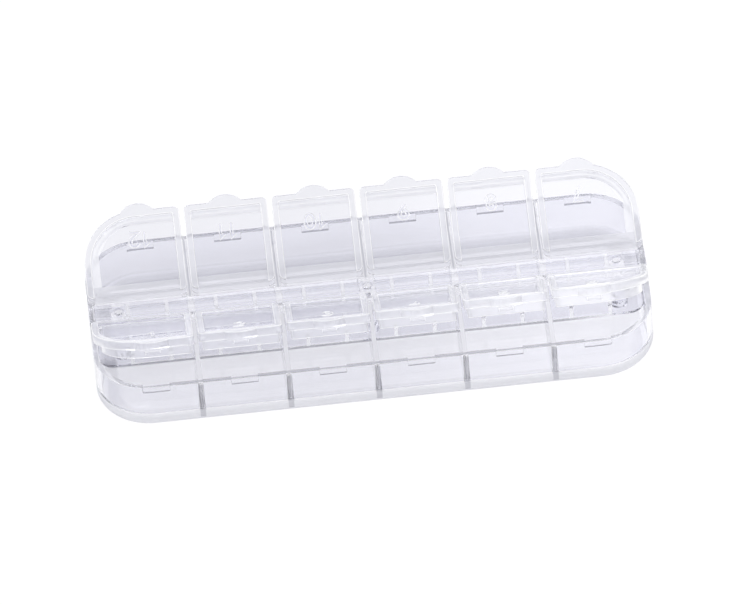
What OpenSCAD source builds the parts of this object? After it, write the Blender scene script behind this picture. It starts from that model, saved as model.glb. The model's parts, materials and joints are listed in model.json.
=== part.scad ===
// Compartment box for bobbins and notions: a clear moulded tray with two rows of cells, and one
// snap-on strip along its middle that carries a lid for each cell on a living hinge.
// Millimetres. Origin at the middle of the tray's foot, X along the rows, front at -Y, Z up.

/* [Tray] */
// Overall length of the tray
box_l = 138; // [110:1:190]
// Overall depth of the tray, front to back
box_w = 53; // [44:0.5:80]
// Height of the tray's walls
wall_h = 13.4; // [10:0.1:40]
// Radius of the tray's corners, seen from above
corner_r = 13.6; // [6:0.2:15]
// Radius round the outside of the foot
foot_r = 2.6; // [0.8:0.1:3.2]
// Radius inside the cells, between floor and outer wall
scoop_r = 3.5; // [0.6:0.1:4.5]
// Cells in each of the two rows
columns = 6; // [4:1:7]
// How much longer an end cell is than the others, for its round corner
end_extra = 3.6; // [2:0.1:8]

/* [Walls] */
// Thickness of the outer wall
wall_t = 1.4; // [1:0.1:2.2]
// Thickness of the floor
floor_t = 1.2; // [0.8:0.1:2.5]
// Thickness of a divider at its top
divider_top = 1.1; // [0.8:0.1:1.6]
// Thickness of a divider at the floor
divider_foot = 1.7; // [1.6:0.1:2.6]
// Thickness of the two inner walls
inner_wall_t = 1.3; // [0.8:0.1:2]
// Width of the channel between the inner walls
channel_w = 7.4; // [6.8:0.1:12]
// Thickness of the cross ribs in the channel
rib_t = 1; // [0.6:0.1:2]
// Distance of a cross rib from the middle of its cell
rib_offset = 4.8; // [3:0.1:6]

/* [Strip] */
// Width of the strip's spine between the two hinge lines
spine_w = 5.4; // [4.8:0.1:6.2]
// Depth of the keel that plugs into the channel
keel_h = 1.4; // [0.8:0.1:3]
// Width of the groove along the top of the spine
groove_w = 3.2; // [2.8:0.1:3.8]
// Depth of the groove
groove_h = 0.9; // [0.4:0.1:1.2]
// Diameter of the pegs that hold the strip down
peg_d = 2.4; // [1.6:0.1:2.6]
// Distance of an end peg from the end of the box
peg_inset = 7.3; // [4.5:0.1:9]

/* [Hinge] */
// Width of the living hinge, from spine to lid
film_w = 1; // [0.8:0.1:1.4]
// Thickness of the living hinge
film_t = 0.3; // [0.2:0.05:0.5]
// How far the living hinge stops short of the lid's round corners
film_short = 0.2; // [0.1:0.1:1]

/* [Lid] */
// Gap between neighbouring lids
lid_gap = 1.1; // [0.6:0.1:2]
// How far a lid's edge stays inside the tray's outside
lid_inset = 0.2; // [0:0.1:0.6]
// Height of a lid's edge
rim_h = 2.3; // [1.6:0.1:3]
// Width of the raised rim
rim_w = 1.7; // [1:0.1:2.6]
// Depth of the panel below the rim's top
panel_drop = 0.7; // [0.3:0.1:1]
// Thickness of the panel
panel_t = 1; // [0.6:0.1:1.4]
// Radius of a lid's corners
lid_r = 1.4; // [0.6:0.1:3]
// Least radius of the corners inside a lid's rim and skirt
inner_r = 0.4; // [0.2:0.1:0.6]
// Depth of the skirt below the lid's edge
skirt_h = 2.6; // [1.6:0.1:4]
// Thickness of the skirt
skirt_t = 0.9; // [0.6:0.1:1.4]
// Distance of the skirt from a divider side of the lid
skirt_side = 0.8; // [0.4:0.1:1.4]
// Distance of the skirt from the tray's outer wall
skirt_clear = 0.55; // [0.4:0.05:1]

/* [Catch] */
// Width of the thumb tab where it leaves the lid
tab_w = 8; // [5:0.1:11]
// How far the thumb tab stands out
tab_out = 1.8; // [1:0.1:3.5]
// Width of the catch pocket in the outer wall
catch_w = 6.6; // [5:0.1:9]
// Height of the catch pocket
catch_h = 2.1; // [1.8:0.1:3.5]
// Depth of the catch pocket into the wall
catch_depth = 0.5; // [0.2:0.05:0.7]
// Width of the snap nub on the skirt
nub_w = 3.8; // [2:0.1:4.8]
// How far the nub stands out of the skirt
nub_out = 0.45; // [0.2:0.05:0.5]

/* [Pose] */
// How far the front row's left end lid stands open
left_open = 27.5; // [0:0.5:90]
// How far the front row's right end lid stands open
right_open = 33; // [0:0.5:90]
// How far the rear lids stand open
rear_open = 31; // [0:0.5:90]

/* [Hidden] */
$fn = 96;
slack = 0.1;          // snap clearance of the strip in the tray
lid_lift = 0.15;      // a closed lid's height over the walls
rim_start = 1;        // the rims begin this far from the lid's hinge edge
film_end = lid_r + film_short;
over = 1;             // overrun of a cut past the face it opens
lids = 2 * columns;
pitch = (box_l - 2 * end_extra) / columns;
half_l = box_l / 2;
half_w = box_w / 2;
lid_z = wall_h + lid_lift;
rim_z = lid_z + rim_h;
panel_z = rim_z - panel_drop;
axis_y = (spine_w + film_w) / 2;
axis_z = panel_z - film_t / 2;
lid_near = axis_y + film_w / 2;
lid_far = half_w - lid_inset;
skirt_end = wall_t + skirt_clear - lid_inset;
skirt_near = max(channel_w / 2 + inner_wall_t + skirt_clear, lid_near + skirt_side);
keel_z = wall_h - keel_h;
tab_r = (tab_w * tab_w / 4 + tab_out * tab_out) / (2 * tab_out);
peg_x = half_l - peg_inset;
peg_tip = peg_d / 6;        // height of a peg's tapered tip
tab_root = rim_w * 0.8;     // the thumb tab starts this far inside the lid's edge

function two_digits(n) = str(n < 10 ? "0" : "", n);
function lid_name(n) = str("lid_", two_digits(n));
function hinge_name(n) = str("hinge_", two_digits(n));
// lids 1 to columns run along the front from the left, the rest come back along the rear
function in_front(n) = n <= columns;
// column in the rear row's own frame: the front row is the rear row turned half round
function column(n) = in_front(n) ? columns - n : lids - n;
function cell_x(k) = (k - (columns - 1) / 2) * pitch;
// the front lids stand open a little more from each to the next
function opening(n) = in_front(n)
    ? left_open + (right_open - left_open) * (n - 1) / (columns - 1)
    : rear_open;
// ends of lid k along X, drawn in by side next to a neighbour and by end at the outer wall
function lid_left(k, side, end) = k == 0
    ? -half_l + lid_inset + end
    : cell_x(k) - pitch / 2 + lid_gap / 2 + side;
function lid_right(k, side, end) = k == columns - 1
    ? half_l - lid_inset - end
    : cell_x(k) + pitch / 2 - lid_gap / 2 - side;
function turned(y, z, a) = [y * cos(a) - z * sin(a), y * sin(a) + z * cos(a)];

// ---- plane shapes ----

// what is cut from a square corner at the origin to round it, with material towards -X and -Y
module corner_cut(r) {
    difference() {
        translate([-r, -r]) square(r + over);
        translate([-r, -r]) circle(r);
    }
}

// cross-section of a box: w wide, h high, lower corners rounded
module foot_section(w, h, r) {
    difference() {
        translate([-w / 2, 0]) square([w, h]);
        for (side = [0, 1]) mirror([side, 0]) translate([w / 2, 0]) mirror([0, 1]) corner_cut(r);
    }
}

// outline of lid k seen from above, drawn in by side at its neighbours and by end at the walls
module lid_plan(k, side, end, near) {
    first = k == 0;
    last = k == columns - 1;
    left = lid_left(k, side, end);
    right = lid_right(k, side, end);
    far = lid_far - end;
    small_r = max(lid_r - side, inner_r);
    big_r = corner_r - lid_inset - end;
    difference() {
        translate([left, near]) square([right - left, far - near]);
        translate([right, far]) corner_cut(last ? big_r : small_r);
        translate([left, far]) mirror([1, 0]) corner_cut(first ? big_r : small_r);
        translate([right, near]) mirror([0, 1]) corner_cut(small_r);
        translate([left, near]) rotate(180) corner_cut(small_r);
    }
}

// ---- tray ----

// box with upright round corners of radius r and a rounded foot
module foot_box(l, w, h, r, foot) {
    rotate([90, 0, 90]) translate([0, 0, -l / 2 + r])
        linear_extrude(l - 2 * r) foot_section(w, h, foot);
    rotate([90, 0, 0]) translate([0, 0, -w / 2 + r])
        linear_extrude(w - 2 * r) foot_section(l, h, foot);
    for (x = [-1, 1], y = [-1, 1]) translate([x * (l / 2 - r), y * (w / 2 - r), 0])
        rotate_extrude() intersection() {
            foot_section(2 * r, h, foot);
            square([r, h]);
        }
}

// the room between two dividers, wider at the top by their draft; ends run past the walls
module cell_room(k) {
    first = k == 0;
    last = k == columns - 1;
    top = (pitch - divider_top) / 2;
    foot = (pitch - divider_foot) / 2;
    past = pitch / 2 + end_extra;
    inner = channel_w / 2 + inner_wall_t;
    translate([cell_x(k), half_w, 0]) rotate([90, 0, 0])
        linear_extrude(half_w - inner) polygon([
            [first ? -past : -foot, floor_t],
            [last ? past : foot, floor_t],
            [last ? past : top, wall_h + over],
            [first ? -past : -top, wall_h + over]
        ]);
}

module cavities() {
    intersection() {
        translate([0, 0, floor_t])
            foot_box(box_l - 2 * wall_t, box_w - 2 * wall_t, wall_h, corner_r - wall_t, scoop_r);
        union() {
            for (k = [0 : columns - 1], turn = [0, 180]) rotate(turn) cell_room(k);
            translate([-half_l, -channel_w / 2, floor_t]) cube([box_l, channel_w, wall_h]);
        }
    }
}

// the pockets that the lids' nubs snap into
module catch_pockets() {
    for (k = [0 : columns - 1], turn = [0, 180]) rotate(turn)
        translate([cell_x(k) - catch_w / 2, half_w - wall_t - over, wall_h - catch_h])
            cube([catch_w, catch_depth + over, catch_h + over]);
}

// the end walls' notches, where the strip's ends lie
module end_notches() {
    for (side = [-1, 1]) translate([side * half_l, 0, keel_z + wall_h / 2])
        cube([2 * (wall_t + over), spine_w + 2 * slack, wall_h], center = true);
}

// ribs and low dividers across the channel: the strip's keel rests on them
module channel_ribs() {
    for (k = [0 : columns - 1], side = [-1, 1])
        translate([cell_x(k) + side * rib_offset, 0, keel_z / 2])
            cube([rib_t, channel_w + inner_wall_t, keel_z], center = true);
    for (k = [1 : columns - 1]) translate([cell_x(k) - pitch / 2, 0, keel_z / 2])
        cube([divider_foot, channel_w + inner_wall_t, keel_z], center = true);
}

// three pegs on bosses hold the strip down
module pegs() {
    for (x = [-peg_x, 0, peg_x]) translate([x, 0, 0]) {
        cylinder(h = keel_z, d = peg_d + 2 * rib_t);
        cylinder(h = panel_z - slack - peg_tip, d = peg_d);
        translate([0, 0, panel_z - slack - peg_tip])
            cylinder(h = peg_tip, d1 = peg_d, d2 = peg_d - 2 * peg_tip);
    }
}

module tray() {
    color("aliceblue", 0.35) union() {
        difference() {
            foot_box(box_l, box_w, wall_h, corner_r, foot_r);
            cavities();
            catch_pockets();
            end_notches();
        }
        channel_ribs();
        pegs();
    }
}

// ---- strip ----

module lid_strip() {
    keel_w = channel_w - 2 * slack;
    keel_l = box_l - 2 * (wall_t + slack);
    spine_h = panel_z - wall_h;
    color("ghostwhite", 0.5) difference() {
        union() {
            translate([-keel_l / 2, -keel_w / 2, keel_z]) cube([keel_l, keel_w, keel_h]);
            translate([-half_l, -spine_w / 2, keel_z]) cube([box_l, spine_w, keel_h + spine_h]);
        }
        difference() {
            translate([-half_l + wall_t, -groove_w / 2, panel_z - groove_h])
                cube([box_l - 2 * wall_t, groove_w, groove_h + over]);
            for (k = [0 : columns - 1], side = [-1, 1])
                translate([cell_x(k) + side * rib_offset, 0, panel_z - groove_h])
                    cube([rib_t, groove_w + over, 2 * groove_h], center = true);
            for (x = [-peg_x, 0, peg_x]) translate([x, 0, keel_z])
                cylinder(h = keel_h + spine_h, d = peg_d + 2 * rib_t);
        }
        for (x = [-peg_x, 0, peg_x]) translate([x, 0, keel_z - over])
            cylinder(h = wall_h, d = peg_d + 2 * slack);
    }
}

// ---- lids and hinges ----

// turns a closed rear-row lid up by its opening, and puts it in lid n's row
module hung(n) {
    rotate(in_front(n) ? 180 : 0)
        translate([0, axis_y, axis_z]) rotate([opening(n), 0, 0])
            translate([0, -axis_y, -axis_z]) children();
}

module thumb_tab(k) {
    translate([cell_x(k), lid_far, lid_z]) linear_extrude(rim_h) intersection() {
        translate([0, tab_out - tab_r]) circle(tab_r);
        translate([-tab_w, -tab_root]) square([2 * tab_w, tab_root + tab_out + over]);
    }
}

// half-round nub across the skirt's end face
module snap_nub(k) {
    translate([cell_x(k) - nub_w / 2, lid_far - skirt_end, wall_h - catch_h / 2])
        rotate([0, 90, 0]) cylinder(h = nub_w, r = nub_out);
}

module closed_lid(k) {
    skirt_z = lid_z - skirt_h;
    translate([0, 0, panel_z - panel_t]) linear_extrude(panel_t) lid_plan(k, 0, 0, lid_near);
    translate([0, 0, lid_z]) linear_extrude(rim_h) difference() {
        lid_plan(k, 0, 0, lid_near + rim_start);
        lid_plan(k, rim_w, rim_w, lid_near - over);
    }
    translate([0, 0, skirt_z]) linear_extrude(panel_z - panel_t - skirt_z) difference() {
        lid_plan(k, skirt_side, skirt_end, skirt_near);
        lid_plan(k, skirt_side + skirt_t, skirt_end + skirt_t, skirt_near + skirt_t);
    }
    thumb_tab(k);
    snap_nub(k);
}

module lid(n) {
    color("ghostwhite", 0.5) hung(n) union() closed_lid(column(n));
}

// the film's section across the hinge line, flat to the spine and bent up to the lid by angle a
module film_section(a) {
    half = film_w / 2;
    thin = film_t / 2;
    mitre = thin * tan(a / 2);
    polygon([
        [-half, -thin], [mitre, -thin], turned(half, -thin, a),
        turned(half, thin, a), [-mitre, thin], [-half, thin]
    ]);
}

// the thin web that joins a lid to the spine, bent as far as the lid stands open
module hinge(n) {
    k = column(n);
    left = lid_left(k, film_end, film_end);
    right = lid_right(k, film_end, film_end);
    color("white", 0.6) rotate(in_front(n) ? 180 : 0)
        translate([left, axis_y, axis_z]) rotate([90, 0, 90])
            linear_extrude(right - left) film_section(opening(n));
}

tray();
lid_strip();
for (n = [1 : lids]) {
    lid(n);
    hinge(n);
}
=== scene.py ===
"""Looks of the bobbin box: clear tray, milky strip with twelve numbered lids on living hinges."""

import json
import math

import bmesh
import bpy
from mathutils import Matrix, Vector


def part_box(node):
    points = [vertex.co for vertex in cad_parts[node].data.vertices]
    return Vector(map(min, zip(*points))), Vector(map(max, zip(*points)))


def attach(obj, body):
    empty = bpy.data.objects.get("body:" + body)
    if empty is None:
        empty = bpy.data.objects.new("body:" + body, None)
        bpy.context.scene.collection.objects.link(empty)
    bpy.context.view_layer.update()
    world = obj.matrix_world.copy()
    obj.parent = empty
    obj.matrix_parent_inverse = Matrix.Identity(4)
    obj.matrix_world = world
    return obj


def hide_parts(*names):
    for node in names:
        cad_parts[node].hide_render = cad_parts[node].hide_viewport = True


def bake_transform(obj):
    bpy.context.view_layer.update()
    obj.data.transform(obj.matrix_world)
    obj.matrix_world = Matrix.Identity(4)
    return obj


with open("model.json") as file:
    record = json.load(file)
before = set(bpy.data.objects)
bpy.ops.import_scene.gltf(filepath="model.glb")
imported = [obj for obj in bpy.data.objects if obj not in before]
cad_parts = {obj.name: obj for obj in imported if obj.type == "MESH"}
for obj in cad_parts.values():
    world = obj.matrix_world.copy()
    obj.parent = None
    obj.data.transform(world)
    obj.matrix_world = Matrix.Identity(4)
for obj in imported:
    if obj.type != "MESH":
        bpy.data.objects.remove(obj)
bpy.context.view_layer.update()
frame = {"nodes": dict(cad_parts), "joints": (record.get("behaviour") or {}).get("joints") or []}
scene = bpy.context.scene
MM = 0.001

# Sizes of the solids that the pieces are fitted to, in millimetres
COLUMNS, PITCH = 6, 21.8  # cells in a row, and from one to the next
HALF_L, HALF_W, WALL_H = 69.0, 26.5, 13.4  # the tray's half length, half depth and height
CORNER_R, WALL_T, FLOOR_T = 13.6, 1.4, 1.2
SCOOP_R = 3.5  # the round corner between floor and outer wall
CATCH_H = 2.1  # from the wall's top down to a catch pocket's ledge
INNER_Y = 5.0  # the inner walls' faces towards the cells
KEEL_Z = 12.0  # the ribs' tops, which the strip stands on
AXIS_Y, AXIS_Z = 3.2, 15.0  # where the hinges' axes are
PANEL_Z, PANEL_T = 15.15, 1.0  # a closed lid's sunk panel: its top and thickness
# the panel of a closed rear lid is clear from this y on, and to this far from the outer wall
CLEAR_NEAR, CLEAR_IN = 7.6, 3.95
NUB_EDGE = 0.0295  # one step of the snap nub's round form
FILM_W, FILM_T = 1.0, 0.3  # a hinge film's width across the axis, and its thickness
NUMBER_Y, NUMBER_H = 18.8, 0.25  # the middle of a closed lid's number, and how far it stands out
TOUCH = 0.01  # a hair's breadth between pieces that would share a face

# Numbers of a lid's looks: the panel's clear part, the rim and skirt, the panel over the skirt
WINDOW, PLAIN, HAZE = 0, 1, 2
# Rays that show the room and the floor as they look, and not as they light the box
DIRECT = ("Is Camera Ray", "Is Glossy Ray", "Is Transmission Ray")


# ---------------------------------------------------------------- helpers
def link(obj):
    scene.collection.objects.link(obj)
    return obj


def new_object(name, bm, *materials):
    mesh = bpy.data.meshes.new(name)
    bm.to_mesh(mesh)
    bm.free()
    for m in materials:
        mesh.materials.append(m)
    return link(bpy.data.objects.new(name, mesh))


def smooth(obj, angle):
    mesh = obj.data
    mesh.polygons.foreach_set("use_smooth", [True] * len(mesh.polygons))
    mesh.set_sharp_from_angle(angle=math.radians(angle))


def shade(obj):
    """Round shading over the curves alone: each flat face keeps its own normal to its edge."""
    bm = bmesh.new()
    bm.from_mesh(obj.data)
    bm.faces.ensure_lookup_table()
    flat, curved = math.radians(0.4), math.cos(math.radians(32))
    owner = [-1] * len(bm.faces)
    width = []
    for seed in bm.faces:
        if owner[seed.index] >= 0:
            continue
        owner[seed.index] = len(width)
        group, area, spots = [seed], 0.0, []
        for f in group:
            area += f.calc_area()
            spots += [v.co for v in f.verts]
            for e in f.edges:
                for g in e.link_faces:
                    if owner[g.index] < 0 and g.normal.angle(f.normal, 9) < flat:
                        owner[g.index] = len(width)
                        group.append(g)
        low = Vector([min(p[i] for p in spots) for i in range(3)])
        high = Vector([max(p[i] for p in spots) for i in range(3)])
        width.append(area / max((high - low).length, 1e-9))
    normals = []
    for f in bm.faces:
        for corner in f.loops:
            total, used = Vector(), set()
            for g in corner.vert.link_faces:
                if owner[g.index] not in used and g.normal.dot(f.normal) > curved:
                    used.add(owner[g.index])
                    total += g.normal * (width[owner[g.index]] / MM) ** 4
            normals.append(total.normalized() if total.length > 0 else f.normal.copy())
    bm.free()
    obj.data.polygons.foreach_set("use_smooth", [True] * len(obj.data.polygons))
    obj.data.normals_split_custom_set(normals)


def moulding(node, name, body, looks, edge, keep=None, lift=None, part=None, cuts=()):
    """A copy of a node's solid that stands for it, its sharp edges rounded.

    looks are the materials of the faces and, last, of the rounded edges. keep(a, b) is true for
    an edge that stays sharp, and lift = (height, step) raises a face. part(face) is the number
    of a face's look, once the planes cuts = (point, normal), ... have parted the faces that
    aren't PLAIN.
    """
    bm = bmesh.new()
    bm.from_mesh(frame["nodes"][node].data)
    bmesh.ops.remove_doubles(bm, verts=bm.verts, dist=1e-6)
    bmesh.ops.dissolve_limit(
        bm, angle_limit=math.radians(0.6), verts=bm.verts, edges=bm.edges
    )
    for point, normal in cuts:
        panes = [f for f in bm.faces if part(f) != PLAIN]
        parts = panes + list({p for f in panes for p in (*f.edges, *f.verts)})
        bmesh.ops.bisect_plane(bm, geom=parts, dist=1e-7, plane_co=point, plane_no=normal)
    for f in bm.faces:
        f.material_index = part(f) if part else 0
    if lift:
        for v in bm.verts:
            if abs(v.co.z - lift[0] * MM) < 1e-6:
                v.co.z += lift[1] * MM
    sharp = [
        e
        for e in bm.edges
        if e.calc_face_angle_signed(0) > math.radians(60)
        and not (keep and keep(e.verts[0].co, e.verts[1].co))
    ]
    bmesh.ops.bevel(
        bm, geom=sharp, offset=edge * MM, offset_type="OFFSET", segments=2, profile=0.5,
        affect="EDGES", clamp_overlap=False, material=len(looks) - 1,
    )
    bmesh.ops.triangulate(bm, faces=[f for f in bm.faces if len(f.verts) > 4])
    obj = new_object(name, bm, *looks)
    shade(obj)
    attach(obj, body)
    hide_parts(node)
    return obj


# ---------------------------------------------------------------- materials
def material(name):
    m = bpy.data.materials.new(name)
    m.use_nodes = True
    nodes, links = m.node_tree.nodes, m.node_tree.links
    shader = nodes["Principled BSDF"]
    return m, nodes, links, shader


def noise(nodes, links, scale, detail):
    where = nodes.new("ShaderNodeTexCoord")
    n = nodes.new("ShaderNodeTexNoise")
    n.inputs["Scale"].default_value = scale
    n.inputs["Detail"].default_value = detail
    links.new(where.outputs["Object"], n.inputs["Vector"])
    return n.outputs["Fac"]


def spread(nodes, links, value, low, high):
    r = nodes.new("ShaderNodeMapRange")
    r.inputs["From Min"].default_value = 0.35
    r.inputs["From Max"].default_value = 0.65
    r.inputs["To Min"].default_value = low
    r.inputs["To Max"].default_value = high
    links.new(value, r.inputs["Value"])
    return r.outputs["Result"]


def tint(nodes, links, value, a, b):
    mix = nodes.new("ShaderNodeMix")
    mix.data_type = "RGBA"
    mix.inputs[6].default_value = (*a, 1)
    mix.inputs[7].default_value = (*b, 1)
    links.new(value, mix.inputs[0])
    return mix.outputs[2]


def bumps(nodes, links, shader, value, strength, distance):
    b = nodes.new("ShaderNodeBump")
    b.inputs["Strength"].default_value = strength
    b.inputs["Distance"].default_value = distance
    links.new(value, b.inputs["Height"])
    links.new(b.outputs["Normal"], shader.inputs["Normal"])


def seen(nodes, links, *kinds):
    """1 for rays of these kinds, 0 for the rest."""
    path = nodes.new("ShaderNodeLightPath")
    value = path.outputs[kinds[0]]
    for kind in kinds[1:]:
        value = calc(nodes, links, "MAXIMUM", value, path.outputs[kind])
    return value


def calc(nodes, links, kind, a, b=None, c=None):
    """One step of arithmetic on sockets or numbers."""
    n = nodes.new("ShaderNodeMath")
    n.operation = kind
    for socket, value in zip(n.inputs, (a, b, c)):
        if value is None:
            continue
        if isinstance(value, (int, float)):
            socket.default_value = value
        else:
            links.new(value, socket)
    return n.outputs[0]


def step(nodes, links, value, start, end):
    """0 before start and 1 after end, smooth between; start above end turns it round."""
    r = nodes.new("ShaderNodeMapRange")
    r.interpolation_type = "SMOOTHSTEP"
    r.inputs["From Min"].default_value = start
    r.inputs["From Max"].default_value = end
    links.new(value, r.inputs["Value"])
    return r.outputs["Result"]


class Place:
    """Where a point of the surface is in the shared frame, in millimetres, with arithmetic."""

    def __init__(self, nodes, links):
        self.nodes, self.links = nodes, links
        where = nodes.new("ShaderNodeTexCoord")
        scale = nodes.new("ShaderNodeVectorMath")
        scale.operation = "SCALE"
        scale.inputs["Scale"].default_value = 1 / MM
        split = nodes.new("ShaderNodeSeparateXYZ")
        links.new(where.outputs["Object"], scale.inputs[0])
        links.new(scale.outputs[0], split.inputs[0])
        self.x, self.y, self.z = split.outputs

    def do(self, kind, a, b=None, c=None):
        return calc(self.nodes, self.links, kind, a, b, c)

    def grow(self, value, start, end, least=0):
        """From least before start to 1 after end."""
        share = step(self.nodes, self.links, value, start, end)
        return self.do("MULTIPLY_ADD", share, 1 - least, least) if least else share

    def both(self, *parts):
        """Where all the parts are: their product."""
        value = parts[0]
        for part in parts[1:]:
            value = self.do("MULTIPLY", value, part)
        return value


class TrayPlace(Place):
    """A place on the tray, told by its walls as well."""

    def __init__(self, nodes, links):
        super().__init__(nodes, links)
        do = self.do
        self.ax, ay = do("ABSOLUTE", self.x), do("ABSOLUTE", self.y)
        cx = do("MAXIMUM", do("SUBTRACT", self.ax, HALF_L - CORNER_R), 0)
        cy = do("MAXIMUM", do("SUBTRACT", ay, HALF_W - CORNER_R), 0)
        across = do("SQRT", do("ADD", do("MULTIPLY", cx, cx), do("MULTIPLY", cy, cy)))
        # outwards from the outer wall's inner face, and from an inner wall's face to the cells
        self.out = do("SUBTRACT", across, CORNER_R - WALL_T)
        self.near = do("SUBTRACT", ay, INNER_Y)
        # from the nearest divider's middle
        self.off = do("PINGPONG", self.x, PITCH / 2)
        self.inside = self.grow(self.out, 0.1, 0.0)
        self.topmost = self.grow(self.z, WALL_H - 0.2, WALL_H - 0.12)


def wall_darks(at):
    """Painted shade, each with its amount: on the outer wall's top, the catch pockets' ledges,
    the dividers' ends at the front wall, and the tops of the rear and of the front dividers."""
    grow, both = at.grow, at.both
    x, y, z, out, off = at.x, at.y, at.z, at.out, at.off
    top = both(
        grow(z, WALL_H - 0.15, WALL_H - 0.05),
        grow(out, 0.1, 0.3),
        grow(out, 1.3, 1.0),
        grow(x, -63, -54, 0.3),
        grow(x, 64, 54, 0.2),
        grow(y, 0, -20, 0.574),
    )
    ledge = both(
        grow(at.do("ABSOLUTE", at.do("SUBTRACT", z, WALL_H - CATCH_H)), 0.16, 0.08),
        grow(out, 0.02, 0.06),
        grow(out, 0.66, 0.62),
    )
    joint = both(
        grow(off, 0.75, 0.6),
        grow(y, 0.2 - HALF_W, 0.1 - HALF_W),
        grow(z, 0.6, 1.2),
        grow(z, WALL_H - 0.3, WALL_H - 0.8),
        grow(at.ax, 50, 49),
    )
    crest = both(grow(off, 0.62, 0.55), at.topmost, at.inside)
    ridge = both(grow(off, 0.24, 0.16), crest, grow(y, INNER_Y - 0.6, INNER_Y))
    dim = both(crest, grow(y, 0, -4))
    return [(top, 0.54), (ledge, 0.6), (joint, 0.44), (ridge, 0.5), (dim, 0.08)]


def cell_darks(at):
    """Painted shade, each with its amount: on the inner walls' foot and low part, the round
    corner at the outer wall's foot, and that wall's inner face in the rear cells."""
    grow, both = at.grow, at.both
    x, y, z, out, near = at.x, at.y, at.z, at.out, at.near
    inner_face = grow(near, -0.1, -0.02)
    foot = both(
        inner_face,
        grow(z, FLOOR_T - 0.1, FLOOR_T - 0.02),
        grow(at.do("MAXIMUM", near, at.do("SUBTRACT", z, FLOOR_T)), 0.48, 0.28),
        at.inside,
        grow(y, 2, -2, 0.2),
        grow(x, 60, 46, 0.1),
        grow(x, -66, -58, 0.5),
    )
    low = both(inner_face, grow(near, 0.15, 0.05), grow(z, 6, 2), grow(x, 10, -50), at.inside)
    scoop = both(
        at.inside,
        grow(out, -SCOOP_R - 1.2, -SCOOP_R - 0.2),
        grow(z, FLOOR_T - 0.2, FLOOR_T - 0.05),
        grow(z, FLOOR_T + 3.4, FLOOR_T + 0.4),
        grow(y, -20, 20, 0.25),
        at.do("MAXIMUM", grow(y, -5, 5), grow(x, 60, 46)),
    )
    fade = both(
        at.inside, grow(out, -0.3, -0.1), grow(z, 12.5, 5), grow(y, 0, 10), grow(x, 70, -10)
    )
    return [(foot, 0.52), (low, 0.12), (scoop, 0.38), (fade, 0.12)]


def tray_marks(nodes, links):
    """Painted light and shade on the clear plastic: areas of another tint, and layers of a dull
    colour.
    """
    at = TrayPlace(nodes, links)
    do, grow, both = at.do, at.grow, at.both
    y, z, out = at.y, at.z, at.out
    # painted shade on the tray's underside, and painted light on the front wall
    underside_shade = both(grow(z, 0.1, 0.05), grow(out, 0.0, -0.1))
    front = both(grow(y, 4 - HALF_W, 3 - HALF_W), grow(out, -0.1, -0.02), grow(z, 1.4, 2))
    # painted light on the foot, seen from outside alone
    side = nodes.new("ShaderNodeNewGeometry").outputs["Backfacing"]
    skin = both(grow(out, WALL_T - 1, WALL_T - 0.9), do("SUBTRACT", 1, side))
    base = both(skin, grow(z, 5.2, 3.8))
    # painted contact shadow along the foot's bottom edge
    sole_shadow = both(skin, grow(z, 1.2, 0.95))
    # painted highlights on the tops of the rear dividers and of the end walls
    crest = both(grow(at.off, 0.62, 0.55), at.topmost, at.inside, grow(y, 0, 4))
    ends = both(grow(at.ax, 56, 66), at.topmost, grow(out, -0.05, 0.05))
    # painted shade: the wall and cell marks and the contact shadow, layered in a grey coat
    painted_shade_sum = 0
    for part, amount in wall_darks(at) + cell_darks(at) + [(sole_shadow, 0.3)]:
        painted_shade_sum = do("MULTIPLY_ADD", part, amount, painted_shade_sum)
    areas = [(underside_shade, (0.7, 0.7, 0.75)), (front, (0.98, 0.98, 1))]
    layers = [
        (do("MULTIPLY", base, 0.85), (0.81, 0.81, 0.85)),
        (do("MULTIPLY", do("MAXIMUM", crest, ends), 0.4), (0.95, 0.95, 0.98)),
        (do("MINIMUM", painted_shade_sum, 1), (0.3, 0.3, 0.35)),
    ]
    return areas, layers


def lid_marks(nodes, links):
    """Painted light: the front lids are lighter towards the right."""
    at = Place(nodes, links)
    return [(at.grow(at.x, -30, 60), (0.99, 0.99, 1))], []


def coat(nodes, colour):
    n = nodes.new("ShaderNodeBsdfDiffuse")
    n.inputs["Color"].default_value = (*colour, 1)
    return n


def blend(nodes, links, amount, first, second):
    n = nodes.new("ShaderNodeMixShader")
    links.new(amount, n.inputs[0])
    links.new(first.outputs[0], n.inputs[1])
    links.new(second.outputs[0], n.inputs[2])
    return n


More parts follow.
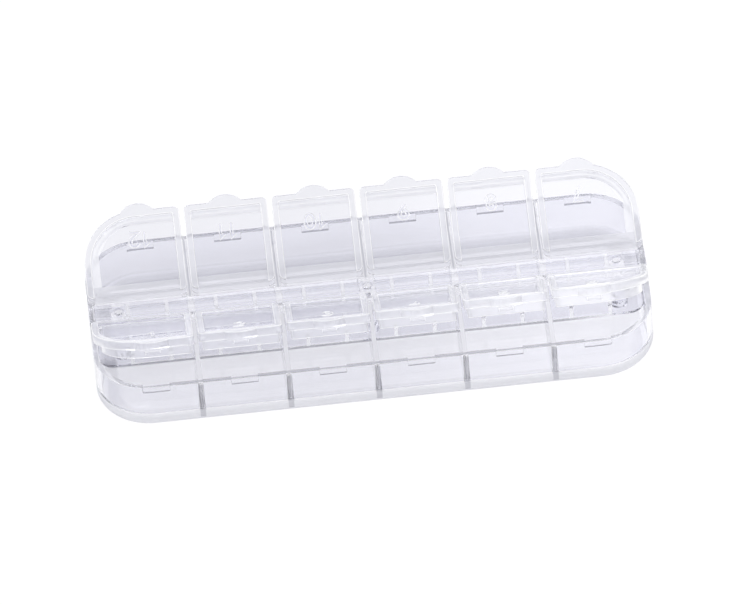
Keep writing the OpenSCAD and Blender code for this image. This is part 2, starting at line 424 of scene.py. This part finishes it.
def plastic(name, tone, darker, rough, through, wave, ior=1.45, density=0, marks=None):
    """A moulding's plastic, cloudy between two tones.

    through is the share of light that it lets in, wave the height of its bumps, density that of
    its lilac absorption, and marks(nodes, links) gives its areas and layers of painted light and
    shade.
    """
    m, nodes, links, shader = material(name)
    end = nodes["Material Output"]
    # its haze is met on the way in alone
    side = nodes.new("ShaderNodeNewGeometry").outputs["Backfacing"]
    links.new(calc(nodes, links, "MAXIMUM", side, through), shader.inputs["Transmission Weight"])
    shader.inputs["IOR"].default_value = ior
    base = tint(nodes, links, noise(nodes, links, 90, 4), tone, darker)
    areas, layers = marks(nodes, links) if marks else ([], [])
    for amount, colour in areas:
        shift = nodes.new("ShaderNodeMix")
        shift.data_type = "RGBA"
        shift.inputs[7].default_value = (*colour, 1)
        links.new(amount, shift.inputs[0])
        links.new(base, shift.inputs[6])
        base = shift.outputs[2]
    links.new(base, shader.inputs["Base Color"])
    links.new(
        spread(nodes, links, noise(nodes, links, 400, 5), rough * 0.7, rough * 1.4),
        shader.inputs["Roughness"],
    )
    bumps(nodes, links, shader, noise(nodes, links, 60, 2), wave, 0.0002)
    body = shader
    for amount, colour in layers:
        body = blend(nodes, links, amount, body, coat(nodes, colour))
    # lamps shine through clear plastic, so it throws only a pale shadow
    pale = nodes.new("ShaderNodeBsdfTransparent")
    pale.inputs["Color"].default_value = (0.96, 0.96, 0.97, 1)
    body = blend(nodes, links, seen(nodes, links, "Is Shadow Ray"), body, pale)
    links.new(body.outputs[0], end.inputs["Surface"])
    if density:
        soak = nodes.new("ShaderNodeVolumeAbsorption")
        soak.inputs["Color"].default_value = (0.74, 0.74, 0.81, 1)
        soak.inputs["Density"].default_value = density
        links.new(soak.outputs["Volume"], end.inputs["Volume"])
    return m


clear = plastic(
    "tray_clear", (0.92, 0.92, 0.96), (0.85, 0.85, 0.895), rough=0.015, through=1.0, wave=0.05,
    ior=1.5, density=3, marks=tray_marks,
)
milky = plastic(
    "lid_milky", (0.92, 0.92, 0.955), (0.885, 0.885, 0.92), rough=0.02, through=0.95, wave=0.05,
    density=2, marks=lid_marks,
)
# the rear row's lids are darker copies of the lid plastic: painted shade
milky_rear_shaded = plastic(
    "lid_milky_rear_shaded", (0.9, 0.9, 0.945), (0.87, 0.87, 0.915), rough=0.02, through=0.93,
    wave=0.05, density=2,
)
rim = plastic(
    "lid_rim", (0.9, 0.9, 0.935), (0.87, 0.87, 0.905), rough=0.05, through=0.65, wave=0.03,
    marks=lid_marks,
)
rim_rear_shaded = plastic(
    "lid_rim_rear_shaded", (0.84, 0.84, 0.88), (0.81, 0.81, 0.85), rough=0.05, through=0.55, wave=0.03
)
haze_rear = plastic(
    "lid_haze_rear", (0.94, 0.94, 0.97), (0.92, 0.92, 0.95), rough=0.05, through=0.5, wave=0.03
)
# the lids' rounded edges in a whiter plastic: painted highlight
edge_highlight = plastic(
    "lid_edge_highlight", (1, 1, 1), (0.98, 0.98, 0.99), rough=0.05, through=0.4, wave=0.02
)
spine = plastic(
    "spine_milky", (0.97, 0.97, 0.985), (0.95, 0.95, 0.97), rough=0.03, through=0.85, wave=0.05
)
film = plastic(
    "hinge_film", (0.95, 0.95, 0.975), (0.92, 0.92, 0.96), rough=0.12, through=0.6, wave=0.08
)
# the numbers' sloping sides and ends in a whiter plastic: painted highlight
raised = plastic(
    "number_flank_highlight", (1, 1, 1), (0.98, 0.98, 0.99), rough=0.05, through=0.5, wave=0.04
)


# ---------------------------------------------------------------- lids
def in_front(n):
    return n <= COLUMNS


def column(n):
    return COLUMNS - n if in_front(n) else 2 * COLUMNS - n


def cell_x(k):
    return (k - (COLUMNS - 1) / 2) * PITCH


def rest_open(n):
    for joint in frame["joints"]:
        if joint["name"] == f"lid_{n:02d}_hinge":
            return math.radians(-joint["range_deg"][0])


def place(n):
    """From a closed rear-row lid's own frame, in millimetres, to where lid n is at rest."""
    turn = Matrix.Rotation(math.pi if in_front(n) else 0, 4, "Z")
    axis = Matrix.Translation(Vector((0, AXIS_Y, AXIS_Z)))
    lift = Matrix.Rotation(rest_open(n), 4, "X")
    return Matrix.Scale(MM, 4) @ turn @ axis @ lift @ axis.inverted()


def arc(cx, cy, rx, ry, a, b, steps=12):
    return [
        (
            cx + rx * math.cos(math.radians(a + (b - a) * i / steps)),
            cy + ry * math.sin(math.radians(a + (b - a) * i / steps)),
        )
        for i in range(steps + 1)
    ]


# strokes of plain digits in a field 1 wide and 1.6 high, y up
DIGITS = {
    "0": [(arc(0.5, 0.8, 0.46, 0.76, 90, 450, 24)[:-1], True)],
    "1": [([(0.2, 1.2), (0.56, 1.56), (0.56, 0.04)], False)],
    "2": [(arc(0.5, 1.1, 0.44, 0.46, 165, -35, 14) + [(0.06, 0.04), (0.96, 0.04)], False)],
    "3": [
        (
            arc(0.47, 1.18, 0.4, 0.38, 150, -80, 12)
            + arc(0.47, 0.44, 0.46, 0.4, 82, -150, 14),
            False,
        )
    ],
    "4": [([(0.94, 0.42), (0.04, 0.42), (0.7, 1.56), (0.7, 0.04)], False)],
    "5": [
        (
            [(0.88, 1.56), (0.2, 1.56), (0.14, 0.86)]
            + arc(0.46, 0.5, 0.46, 0.46, 125, -145, 16),
            False,
        )
    ],
    "6": [
        (
            [(0.8, 1.56), (0.3, 1.06), (0.1, 0.72)]
            + arc(0.5, 0.5, 0.44, 0.46, 170, -170, 20),
            False,
        )
    ],
    "7": [([(0.06, 1.56), (0.94, 1.56), (0.36, 0.04)], False)],
    "8": [
        (arc(0.5, 1.18, 0.38, 0.38, 270, 630, 18)[:-1], True),
        (arc(0.5, 0.42, 0.44, 0.39, 90, 450, 18)[:-1], True),
    ],
    "9": [
        (
            [(0.2, 0.04), (0.7, 0.54), (0.9, 0.88)]
            + arc(0.5, 1.1, 0.44, 0.46, -10, 330, 20),
            False,
        )
    ],
}


def bar(bm, points, closed, half, low, high, at):
    """A raised bar along a stroke; at turns a point of the plan and a height into its place."""
    n = len(points)
    rails = []
    for i, (x, y) in enumerate(points):
        before = points[i - 1] if (i or closed) else (x, y)
        after = points[(i + 1) % n] if (i < n - 1 or closed) else (x, y)
        a = Vector((x - before[0], y - before[1]))
        b = Vector((after[0] - x, after[1] - y))
        a = a.normalized() if a.length > 1e-9 else b.normalized()
        b = b.normalized() if b.length > 1e-9 else a
        side = Vector((-a.y - b.y, a.x + b.x)).normalized()
        reach = half / max(side.dot(Vector((-a.y, a.x))), 0.6)
        corners = ((1, low), (-1, low), (-0.4, high), (0.4, high))
        spots = [(Vector((x, y)) + side * reach * way, z) for way, z in corners]
        rails.append([bm.verts.new(at(spot.x, spot.y, z)) for spot, z in spots])
    for i in range(n if closed else n - 1):
        a, b = rails[i], rails[(i + 1) % n]
        for j in range(4):
            f = bm.faces.new((a[j], a[(j + 1) % 4], b[(j + 1) % 4], b[j]))
            f.material_index = j % 2
    if not closed:
        for end in (rails[0][::-1], rails[-1]):
            bm.faces.new(end).material_index = 1


def number(n):
    """The lid's raised number, which reads from its free edge, on top of the sunk panel."""
    width, height, gap, stroke = 2.3, 2.3, 1.0, 0.48
    text = str(n)
    sizes = [0.75 * width if digit == "1" else width for digit in text]
    go = place(n)
    x0 = cell_x(column(n))
    start = -(sum(sizes) + gap * (len(text) - 1)) / 2
    bm = bmesh.new()
    for i, digit in enumerate(text):
        left = start + sum(sizes[:i]) + gap * i

        def at(x, y, z, left=left):
            return go @ Vector(
                (x0 - (left + x * width), NUMBER_Y - (y - 0.8) * height, PANEL_Z + z)
            )

        for points, closed in DIGITS[digit]:
            bar(bm, points, closed, stroke / 2, TOUCH, NUMBER_H, at)
    bmesh.ops.recalc_face_normals(bm, faces=bm.faces)
    obj = new_object(f"number_{n:02d}", bm, milky, raised)
    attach(obj, f"lid_{n:02d}")


def hinge_piece(n):
    """The living hinge as a web bent to the lid's rest opening, thinner along its middle."""
    lo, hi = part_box(f"hinge_{n:02d}")
    opening = rest_open(n)
    sign = -1 if in_front(n) else 1
    half, steps = FILM_W / 2, 12
    straight, thinner = 0.2, 0.35
    centre = []
    for i in range(steps + 1):
        t = i / steps
        s = (t - 0.5) * FILM_W
        a = opening * min(max((t - straight) / (1 - 2 * straight), 0), 1)
        centre.append((s, a))
    path = [(-half, 0.0)]
    for (s0, a0), (s1, a1) in zip(centre, centre[1:]):
        a = (a0 + a1) / 2
        y, z = path[-1]
        path.append((y + (s1 - s0) * math.cos(a), z + (s1 - s0) * math.sin(a)))
    # pull the far end onto the lid's edge
    end = (half * math.cos(opening), half * math.sin(opening))
    dy, dz = end[0] - path[-1][0], end[1] - path[-1][1]
    path = [(y + dy * i / steps, z + dz * i / steps) for i, (y, z) in enumerate(path)]
    # just off the spine and the lid at its two ends
    path[0] = (path[0][0] + TOUCH, path[0][1])
    last = path[-1]
    path[-1] = (last[0] - TOUCH * math.cos(opening), last[1] - TOUCH * math.sin(opening))
    bm = bmesh.new()
    rings = []
    for x in (lo.x, hi.x):
        ring = []
        for side in (1, -1):
            order = range(steps + 1) if side == 1 else range(steps, -1, -1)
            for i in order:
                y, z = path[i]
                a = centre[i][1]
                t = FILM_T / 2 * (1 - thinner * math.sin(math.pi * i / steps))
                p = (y - side * t * math.sin(a), z + side * t * math.cos(a))
                ring.append(
                    bm.verts.new((x, sign * (AXIS_Y + p[0]) * MM, (AXIS_Z + p[1]) * MM))
                )
        rings.append(ring)
    a, b = rings
    count = len(a)
    for i in range(count):
        j = (i + 1) % count
        bm.faces.new((a[i], a[j], b[j], b[i]))
    for ring in rings:
        for i in range(steps):
            bm.faces.new((ring[i], ring[i + 1], ring[count - 2 - i], ring[count - 1 - i]))
    bmesh.ops.recalc_face_normals(bm, faces=bm.faces)
    obj = new_object(f"film_{n:02d}", bm, film)
    smooth(obj, 50)
    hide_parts(f"hinge_{n:02d}")
    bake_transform(obj)


def panel_edges(n):
    """The limits of the clear part of a rear lid's panel, in the closed lid's own frame.

    Planes (point, outward normal): one along the hinge, then those towards the outer wall,
    which follow the round corner in the end columns.
    """
    side = math.copysign(1, cell_x(column(n)))
    centre = Vector((side * (HALF_L - CORNER_R), HALF_W - CORNER_R, 0))
    outer = []
    for angle in (0, 30, 60, 90) if column(n) in (0, COLUMNS - 1) else (90,):
        turn = math.radians(angle)
        way = Vector((side * math.cos(turn), math.sin(turn), 0))
        outer.append((centre + way * (CORNER_R - CLEAR_IN), way))
    return (Vector((0, CLEAR_NEAR, 0)), Vector((0, -1, 0))), outer


def lid(n):
    """A lid: clear panel, milky rim and skirt. Over its skirt a rear lid's panel is hazy."""
    slack = 0.05
    go = place(n)
    back = go.inverted()
    hinge, outer = (None, []) if in_front(n) else panel_edges(n)

    def past(point, edge):
        return (point - edge[0]).dot(edge[1]) > 0

    def in_panel(low, high):
        return low > PANEL_Z - PANEL_T - slack and high < PANEL_Z + slack

    def keep(a, b):
        """The snap nub's short arcs, and the panel's edges along the hinge."""
        a, b = back @ a, back @ b
        if abs((a - b).length - NUB_EDGE) < 0.002:
            return True
        return in_panel(min(a.z, b.z), max(a.z, b.z))

    def part(f):
        """The sunk panel's faces are window or haze, and the others are plain."""
        middle = back @ f.calc_center_bounds()
        level = abs((back.to_3x3() @ f.normal).normalized().z) > 0.9
        if not level or not in_panel(middle.z, middle.z) or hinge and past(middle, hinge):
            return PLAIN
        return HAZE if any(past(middle, edge) for edge in outer) else WINDOW

    looks = [milky, rim, rim] if in_front(n) else [milky_rear_shaded, rim_rear_shaded, haze_rear]
    edges = outer + [hinge] if hinge else []
    moulding(
        f"lid_{n:02d}", f"lid_body_{n:02d}", f"lid_{n:02d}",
        [*looks, edge_highlight], 0.2, keep, part=part,
        cuts=[(go @ point, (go.to_3x3() @ way).normalized()) for point, way in edges],
    )


moulding("tray", "tray_body", "box", [clear], 0.12)
# the strip stands a hair off the ribs it rests on, so that light passes the joint cleanly
moulding("lid_strip", "strip_body", "box", [spine], 0.12, lift=(KEEL_Z, 2 * TOUCH))
for n in range(1, 2 * COLUMNS + 1):
    lid(n)
    number(n)
    hinge_piece(n)


# ---------------------------------------------------------------- floor, light and world
def make_floor():
    bm = bmesh.new()
    bmesh.ops.create_grid(bm, x_segments=1, y_segments=1, size=6)
    m, nodes, links, shader = material("floor_white")
    nodes.remove(shader)
    glow = nodes.new("ShaderNodeEmission")
    glow.inputs["Color"].default_value = (1, 1, 1, 1)
    # seen through the plastic, it has painted light, a little lighter on the right, and painted
    # shade behind the box
    level, right, behind = 0.89, 0.13, -0.06
    at = Place(nodes, links)
    shift = at.do("MULTIPLY", at.grow(at.x, -10, 50), right)
    shift = at.do("MULTIPLY_ADD", at.grow(at.y, 16, 45), behind, shift)
    strength = at.do("MULTIPLY_ADD", shift, seen(nodes, links, "Is Transmission Ray"), level)
    links.new(strength, glow.inputs["Strength"])
    lit = nodes.new("ShaderNodeAddShader")
    links.new(coat(nodes, (0.14, 0.14, 0.145)).outputs[0], lit.inputs[0])
    links.new(glow.outputs[0], lit.inputs[1])
    body = blend(nodes, links, seen(nodes, links, *DIRECT), coat(nodes, (0.8, 0.8, 0.8)), lit)
    links.new(body.outputs[0], nodes["Material Output"].inputs["Surface"])
    obj = new_object("floor", bm, m)
    obj.location.z = -0.2 * MM


def make_world():
    world = bpy.data.worlds.new("studio")
    scene.world = world
    world.use_nodes = True
    nodes, links = world.node_tree.nodes, world.node_tree.links
    back = nodes["Background"]
    back.inputs["Color"].default_value = (0.98, 0.985, 1, 1)
    r = nodes.new("ShaderNodeMapRange")
    r.inputs["To Min"].default_value = 0.8
    r.inputs["To Max"].default_value = 1.0
    links.new(seen(nodes, links, *DIRECT), r.inputs["Value"])
    links.new(r.outputs["Result"], back.inputs["Strength"])


def lamp(name, spot, size, energy):
    data = bpy.data.lights.new(name, "AREA")
    data.shape = "SQUARE"
    data.size = size
    data.energy = energy
    obj = link(bpy.data.objects.new(name, data))
    obj.location = spot
    obj.rotation_euler = (-Vector(spot)).to_track_quat("-Z", "Y").to_euler()


make_floor()
make_world()
lamp("key", (-0.4, 0.1, 1.0), 0.7, 3.6)
lamp("fill", (0.4, -0.9, 0.6), 0.8, 2.4)


# ---------------------------------------------------------------- camera
def make_camera():
    """A long lens at the photograph's viewing angle: az from the front, el above the floor."""
    az, el, roll = math.radians(2.041), math.radians(43.644), math.radians(-4.568)
    distance = 4.0
    image_px, px_per_mm = 745, 4.0459
    across, above = 0.000425, 0.006725  # from the frame's origin to the picture's middle
    forward = Vector(
        (math.sin(az) * math.cos(el), math.cos(az) * math.cos(el), -math.sin(el))
    )
    level = Vector((math.cos(az), -math.sin(az), 0))
    steep = level.cross(forward)
    right = level * math.cos(roll) + steep * math.sin(roll)
    up = steep * math.cos(roll) - level * math.sin(roll)
    target = right * across + up * above
    data = bpy.data.cameras.new("camera")
    data.sensor_width = 36
    data.lens = data.sensor_width * distance / MM * px_per_mm / image_px
    data.clip_start = 0.5
    data.clip_end = 30
    obj = link(bpy.data.objects.new("camera", data))
    turn = Matrix((right, up, -forward)).transposed().to_4x4()
    obj.matrix_world = Matrix.Translation(target - forward * distance) @ turn
    scene.camera = obj


make_camera()
scene.view_settings.view_transform = "Standard"
scene.cycles.max_bounces = 128
scene.cycles.transmission_bounces = 64
scene.cycles.glossy_bounces = 128
scene.cycles.diffuse_bounces = 32
scene.cycles.transparent_max_bounces = 32
